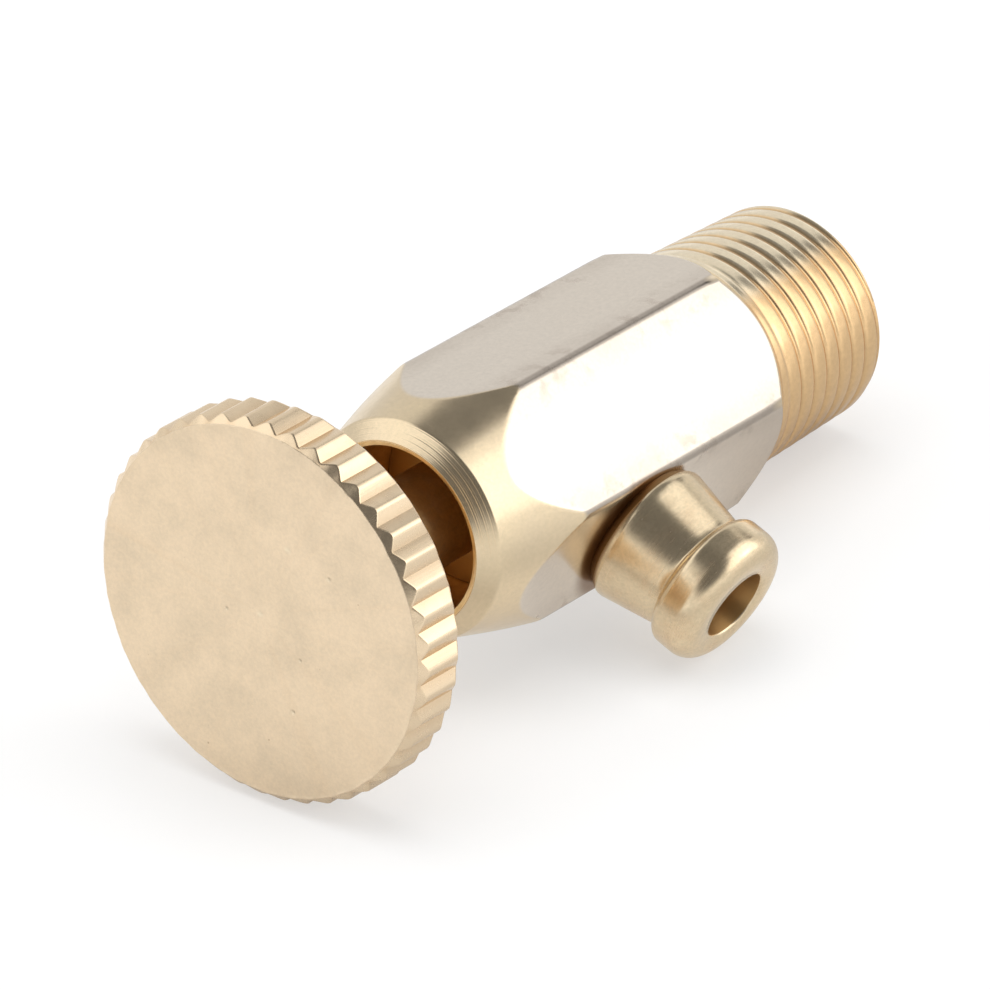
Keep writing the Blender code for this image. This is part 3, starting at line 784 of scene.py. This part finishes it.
def bead_outline():
    """The neck's end and the bead: a hollow curve, a round back and a round front."""
    both = BEAD_HOLLOW_RADIUS + BEAD_BACK_RADIUS
    turn = math.acos(1 - (BEAD_RADIUS - NIPPLE_NECK_RADIUS) / both)
    back = NIPPLE_REACH - BEAD_LENGTH
    hollow_centre = (NIPPLE_NECK_RADIUS + BEAD_HOLLOW_RADIUS, back)
    back_centre = (BEAD_RADIUS - BEAD_BACK_RADIUS, back + both * math.sin(turn))
    front_centre = (BEAD_RADIUS - BEAD_FRONT_RADIUS, NIPPLE_REACH - BEAD_FRONT_RADIUS)
    hollow = arc(hollow_centre, BEAD_HOLLOW_RADIUS, math.pi, math.pi - turn)
    round_back = arc(back_centre, BEAD_BACK_RADIUS, -turn, 0)
    round_front = arc(front_centre, BEAD_FRONT_RADIUS, 0, math.pi / 2)
    return hollow + round_back[1:] + round_front


def make_nipple():
    bead = bead_outline()
    # An eased corner is three points. The last three are left to the bead's own outline.
    foot = eased([(NIPPLE_BORE_RADIUS, NIPPLE_INNER), (NIPPLE_SPIGOT_RADIUS, NIPPLE_INNER),
                  (NIPPLE_SPIGOT_RADIUS, NIPPLE_FOOT_HEIGHT), (NIPPLE_FOOT_RADIUS, NIPPLE_FOOT_HEIGHT),
                  (NIPPLE_BASE_RADIUS, NIPPLE_BASE_HEIGHT), bead[0]], NIPPLE_BASE_ROUND)[1:-3]
    neck = [tuple(point) for point in np.linspace(foot[-1], bead[0], NIPPLE_NECK_RINGS)[1:-1]]
    mouth = [(NIPPLE_BORE_RADIUS + NIPPLE_BORE_CHAMFER, NIPPLE_REACH),
             (NIPPLE_BORE_RADIUS + NIPPLE_BORE_CHAMFER / 3, NIPPLE_REACH - NIPPLE_BORE_CHAMFER / 2),
             (NIPPLE_BORE_RADIUS, NIPPLE_REACH - NIPPLE_BORE_CHAMFER)]
    outline = foot + neck + bead + mouth
    # The foot below its last corner and the bore are dull and coloured dark brass, a painted shade; the rest is
    # turned.
    dull_rows = len(foot) - 3
    zones = [1] * dull_rows + [0] * (len(outline) - 1 - dull_rows) + [1]
    materials = [turned_material("nipple_brass_look", TURNED_BRASS, 0.19),
                 # painted shade: the nipple's bore and foot are coloured dark brass
                 bore_material("nipple_bore_look", DARK_BRASS)]
    nipple = lathe("nipple_skin", outline, materials, 128, zones)
    settle(nipple, NIPPLE_PLACE, "body", "hose_nipple")


def gland_slot(material):
    """A box that cuts the screwdriver slot across the gland nut."""
    half_width, half_length = GLAND_SLOT_WIDTH / 2, GLAND_NUT_RADIUS + CUT_ROOM
    corner = math.atan2(half_length, half_width)
    reach = math.hypot(half_length, half_width)
    low, high = GLAND_NUT_TOP - GLAND_SLOT_DEPTH, GLAND_NUT_TOP + CUT_ROOM
    angles = np.array([-math.pi + corner, -corner, corner, math.pi - corner])
    return skin("slot", rings([0, reach, reach, 0], [low, low, high, high], angles), [material])


def make_gland_nut():
    material = bore_material("gland_brass_look", DARK_BRASS)
    outline = eased([(GLAND_NUT_BORE, GLAND_NUT_BOTTOM), (GLAND_NUT_RADIUS, GLAND_NUT_BOTTOM),
                     (GLAND_NUT_RADIUS, GLAND_NUT_TOP), (GLAND_NUT_BORE, GLAND_NUT_TOP)])
    nut = lathe("gland_nut_skin", outline, [material])
    nut.matrix_world = AXIS_PLACE
    cut(nut, gland_slot(material), AXIS_PLACE @ Matrix.Rotation(FLAT_ANGLE, 4, "Z"))
    settle(nut, AXIS_PLACE, "body", "gland_nut")


def pin_hole(materials):
    """A cutter for the hole of the knob's pin, and its place."""
    reach = HUB_RADIUS + CUT_ROOM
    outline = [(0, -reach), (PIN_HOLE_RADIUS, -reach), (PIN_HOLE_RADIUS, reach), (0, reach)]
    hole = lathe("pin_hole", outline, materials, 48)
    across = Matrix.Translation((0, 0, PIN_HEIGHT * MM)) @ Matrix.Rotation(FLAT_ANGLE, 4, "Z")
    return hole, AXIS_PLACE @ across @ Matrix.Rotation(math.pi / 2, 4, "X")


def make_spindle():
    socket_end = SPINDLE_NOSE + NEEDLE_SOCKET_DEPTH
    thread_top = SPINDLE_NOSE + STEM_THREAD_LENGTH
    shank_end = SPIGOT_END - SPIGOT_LENGTH
    low, high = (SPINDLE_NOSE + height for height in CLIP_GROOVE_SPAN)
    socket = [(0, socket_end), (NEEDLE_SOCKET_RADIUS, socket_end), (NEEDLE_SOCKET_RADIUS, high),
              (CLIP_GROOVE_RADIUS, high), (CLIP_GROOVE_RADIUS, low), (NEEDLE_SOCKET_RADIUS, low),
              (NEEDLE_SOCKET_RADIUS, SPINDLE_NOSE)]
    thread = [(STEM_THREAD_RADIUS - SPINDLE_CHAMFER, SPINDLE_NOSE),
              (STEM_THREAD_RADIUS, SPINDLE_NOSE + SPINDLE_CHAMFER),
              (STEM_THREAD_RADIUS, thread_top - SPINDLE_CHAMFER),
              (STEM_THREAD_RADIUS - SPINDLE_CHAMFER, thread_top)]
    shank = [(SHANK_RADIUS, thread_top), (SHANK_RADIUS, shank_end)]
    spigot = [(SPIGOT_RADIUS, shank_end), (SPIGOT_RADIUS, SPIGOT_END - SPINDLE_CHAMFER),
              (SPIGOT_RADIUS - SPINDLE_CHAMFER, SPIGOT_END), (0, SPIGOT_END)]
    materials = [turned_material("spindle_brass_look", AMBER_BRASS, 0.34, 0.07)]
    spindle = lathe("spindle_skin", eased(socket + thread + shank + spigot), materials)
    spindle.matrix_world = AXIS_PLACE
    cut(spindle, *pin_hole(materials))
    settle(spindle, AXIS_PLACE, "spindle", "spindle")


def knurl(rng, points_per_tooth=16):
    """Angles round the knurl, its radius there and how deep in a groove each point lies."""
    share = np.tile(np.linspace(-0.5, 0.5, points_per_tooth, endpoint=False), KNURL_COUNT)
    tooth = np.repeat(np.arange(KNURL_COUNT), points_per_tooth)
    angles = (tooth + share) * math.tau / KNURL_COUNT + FLAT_ANGLE + KNURL_PHASE
    uneven = rng.normal(0, KNURL_UNEVEN, KNURL_COUNT)[tooth]
    fall = (np.abs(share) - KNURL_CREST_SHARE / 2) / (0.5 - KNURL_CREST_SHARE / 2)
    flank = KNOB_RADIUS + KNURL_CREST_ROUND - KNURL_DEPTH * fall + uneven * (1 - fall)
    radius = blend_min(KNOB_RADIUS, flank, KNURL_CREST_ROUND)
    return angles, np.minimum(radius, KNOB_RADIUS), np.clip(fall, 0, 1)


def ragged(rng, angles, size):
    """A small uneven edge that closes on itself after one turn."""
    waves = rng.integers(*RAGGED_WAVE_COUNTS, RAGGED_WAVES)
    starts = rng.uniform(0, math.tau, RAGGED_WAVES)
    return size * np.mean([np.sin(n * angles + s) for n, s in zip(waves, starts)], axis=0)


def knob_rim(rng, angles, crest):
    """Depths behind the face and radii of the knurled rim's rings, and the radius of its front edge."""
    edge = KNOB_RADIUS - KNOB_EDGE
    front_edge, back_edge = (edge + ragged(rng, angles, KNOB_EDGE_RAGGED) for _ in range(2))
    chamfer = np.linspace(*KNOB_CHAMFER_FROM_TO, KNOB_CHAMFER_RINGS)
    middle = np.linspace(KNOB_RIM_WIDTH, KNOB_THICKNESS - KNOB_RIM_WIDTH, KNOB_RIM_RINGS)
    depths = np.concatenate([chamfer, middle, KNOB_THICKNESS - chamfer[::-1]])
    radii = blend_min(crest[None, :], front_edge + depths[:, None], KNOB_EDGE_BREAK)
    radii = blend_min(radii, back_edge + KNOB_THICKNESS - depths[:, None], KNOB_EDGE_BREAK)
    return depths, radii, front_edge


def knob_face(rng, angles, edge):
    """Rings of the knob's face, out to the fine burr that its last cut left at the edge."""
    plain_radii = np.linspace(0, KNOB_RADIUS - KNOB_RIM_WIDTH, KNOB_FACE_RINGS)
    plain = rings(plain_radii, np.full(KNOB_FACE_RINGS, KNOB_FRONT), angles)
    burr = KNOB_BURR * np.abs(1 + ragged(rng, angles, KNOB_BURR_RAGGED))
    rim = rings(np.stack([edge - inset for inset, _ in KNOB_BURR_SHAPE]),
                np.stack([KNOB_FRONT + burr * rise for _, rise in KNOB_BURR_SHAPE]), angles)
    return np.concatenate([plain, rim])


def knob_back():
    """Outline of the knob's back, its hub and its socket, from the rim inwards."""
    socket_floor = KNOB_FRONT - KNOB_FACE_WALL
    hub = eased([(HUB_RADIUS + HUB_FOOT_WIDTH, KNOB_BACK), (HUB_RADIUS, KNOB_BACK - HUB_FOOT_HEIGHT),
                 (HUB_RADIUS, HUB_END + HUB_CHAMFER), (HUB_RADIUS - HUB_CHAMFER, HUB_END),
                 (KNOB_SOCKET_RADIUS, HUB_END), (KNOB_SOCKET_RADIUS, socket_floor)])[1:-1]
    return [(KNOB_RADIUS - KNOB_RIM_WIDTH, KNOB_BACK), (KNOB_RADIUS - KNOB_BACK_INSET, KNOB_BACK),
            *hub, (0, socket_floor)]


def make_knob():
    rng = np.random.default_rng(KNOB_SEED)
    angles, crest, groove = knurl(rng)
    depths, radii, front_edge = knob_rim(rng, angles, crest)
    face = knob_face(rng, angles, front_edge)
    back = knob_back()
    points = np.concatenate([face, rings(radii, KNOB_FRONT - depths, angles), spun(back, angles)])
    zones = [0] * len(face) + [1] * (len(depths) - 1) + [2] * (len(back) + 1)
    grooves = np.zeros(points.shape[:2])
    grooves[len(face):len(face) + len(depths)] = groove
    materials = [knob_face_material(), knurl_material(), turned_material("knob_back_look", KNOB_BRASS, 0.36)]
    knob = skin("knob_skin", points, materials, zones, {"groove": grooves})
    knob.matrix_world = AXIS_PLACE
    cut(knob, *pin_hole(materials[2:]))
    settle(knob, AXIS_PLACE, "spindle", "thumb_knob")


def dress_small_pieces():
    """Give the CAD nodes that stay in view their looks."""
    needle_steel = plain_material("needle_steel_look", STEEL, 1.0, 0.2, 0.34)
    pin_steel = plain_material("pin_steel_look", STEEL, 1.0, 0.28, 0.42)
    packing = plain_material("packing_look", PTFE, 0.0, 0.45, 0.6)
    looks = {"needle": needle_steel, "needle_clip": needle_steel, "knob_pin": pin_steel,
             "packing_ring_1": packing, "packing_ring_2": packing,
             "packing_washer": bpy.data.materials["gland_brass_look"]}
    for node, material in looks.items():
        mesh = frame["nodes"][node].data
        mesh.materials.clear()
        mesh.materials.append(material)


def floor_material():
    """A light table: part of its white is its own, so that the shadows stay pale."""
    material, graph = new_graph("floor_white")
    at = graph.place()
    glow = graph.ramp(graph.measure("LENGTH", at), *FLOOR_NEAR_GLOW)
    for bearing, *reach_and_strength in FLOOR_GLOWS:
        that_way = graph.measure("DOT_PRODUCT", at, tuple(outward(math.radians(bearing), 0)))
        glow = graph.math("ADD", graph.ramp(that_way, *reach_and_strength), glow)
    path = graph.add("LightPath", {}).outputs
    seen = graph.times(path["Is Camera Ray"], FLOOR_GLOW_SEEN)
    mirrored = graph.times(path["Is Glossy Ray"], glow)
    shine = graph.add("Emission", {"Strength": graph.math("ADD", seen, mirrored)})
    matt = graph.add("BsdfDiffuse", {"Color": (*FLOOR_WHITE, 1)})
    both = graph.add("AddShader", {0: matt.outputs[0], 1: shine.outputs[0]})
    graph.add("OutputMaterial", {"Surface": both.outputs[0]})
    return material


def make_floor():
    half = FLOOR_HALF_SIZE
    corners = [(-half, -half, 0), (half, -half, 0), (half, half, 0), (-half, half, 0)]
    mesh = bpy.data.meshes.new("floor")
    mesh.from_pydata(corners, [], [(0, 1, 2, 3)])
    mesh.materials.append(floor_material())
    floor = bpy.data.objects.new("floor", mesh)
    bpy.context.scene.collection.objects.link(floor)


def make_world():
    """The dome of light, with its patches laid over one another."""
    world = bpy.data.worlds.new("studio")
    world.use_nodes = True
    graph = Graph(world.node_tree)
    toward = graph.add("TexCoord", {}).outputs["Generated"]
    level = DOME_LEVEL
    for bearing, elevation, inner, outer, brightness in DOME_PATCHES:
        aim = tuple(outward(math.radians(bearing), math.radians(elevation)))
        facing = graph.measure("DOT_PRODUCT", toward, aim)
        share = graph.ramp(facing, math.cos(math.radians(outer)), math.cos(math.radians(inner)))
        level = graph.mix(share, level, brightness)
    background = graph.add("Background", {"Color": (1, 1, 1, 1), "Strength": level})
    graph.add("OutputWorld", {"Surface": background.outputs[0]})
    bpy.context.scene.world = world


def make_lamp():
    """A wide lamp overhead that whitens the floor; the brass doesn't mirror it."""
    data = bpy.data.lights.new("floor_lamp", "AREA")
    data.size = LAMP_SIZE
    data.energy = LAMP_POWER
    lamp = bpy.data.objects.new("floor_lamp", data)
    lamp.location = (0, 0, LAMP_HEIGHT)
    lamp.visible_glossy = False
    bpy.context.scene.collection.objects.link(lamp)


def make_camera():
    out = outward(CAMERA_BEARING, CAMERA_ELEVATION)
    data = bpy.data.cameras.new("camera")
    data.lens = CAMERA_LENS
    data.sensor_width = CAMERA_SENSOR
    camera = bpy.data.objects.new("camera", data)
    bpy.context.scene.collection.objects.link(camera)
    camera.rotation_mode = "QUATERNION"
    level = out.to_track_quat("Z", "Y")
    camera.rotation_quaternion = Matrix.Rotation(CAMERA_ROLL, 3, -out).to_quaternion() @ level
    camera.location = CAMERA_AIM + CAMERA_DISTANCE * out
    bpy.context.scene.camera = camera


def main():
    make_body()
    make_nipple()
    make_gland_nut()
    make_spindle()
    make_knob()
    dress_small_pieces()
    make_floor()
    make_world()
    make_lamp()
    make_camera()
    bpy.context.scene.view_settings.view_transform = "Standard"


main()
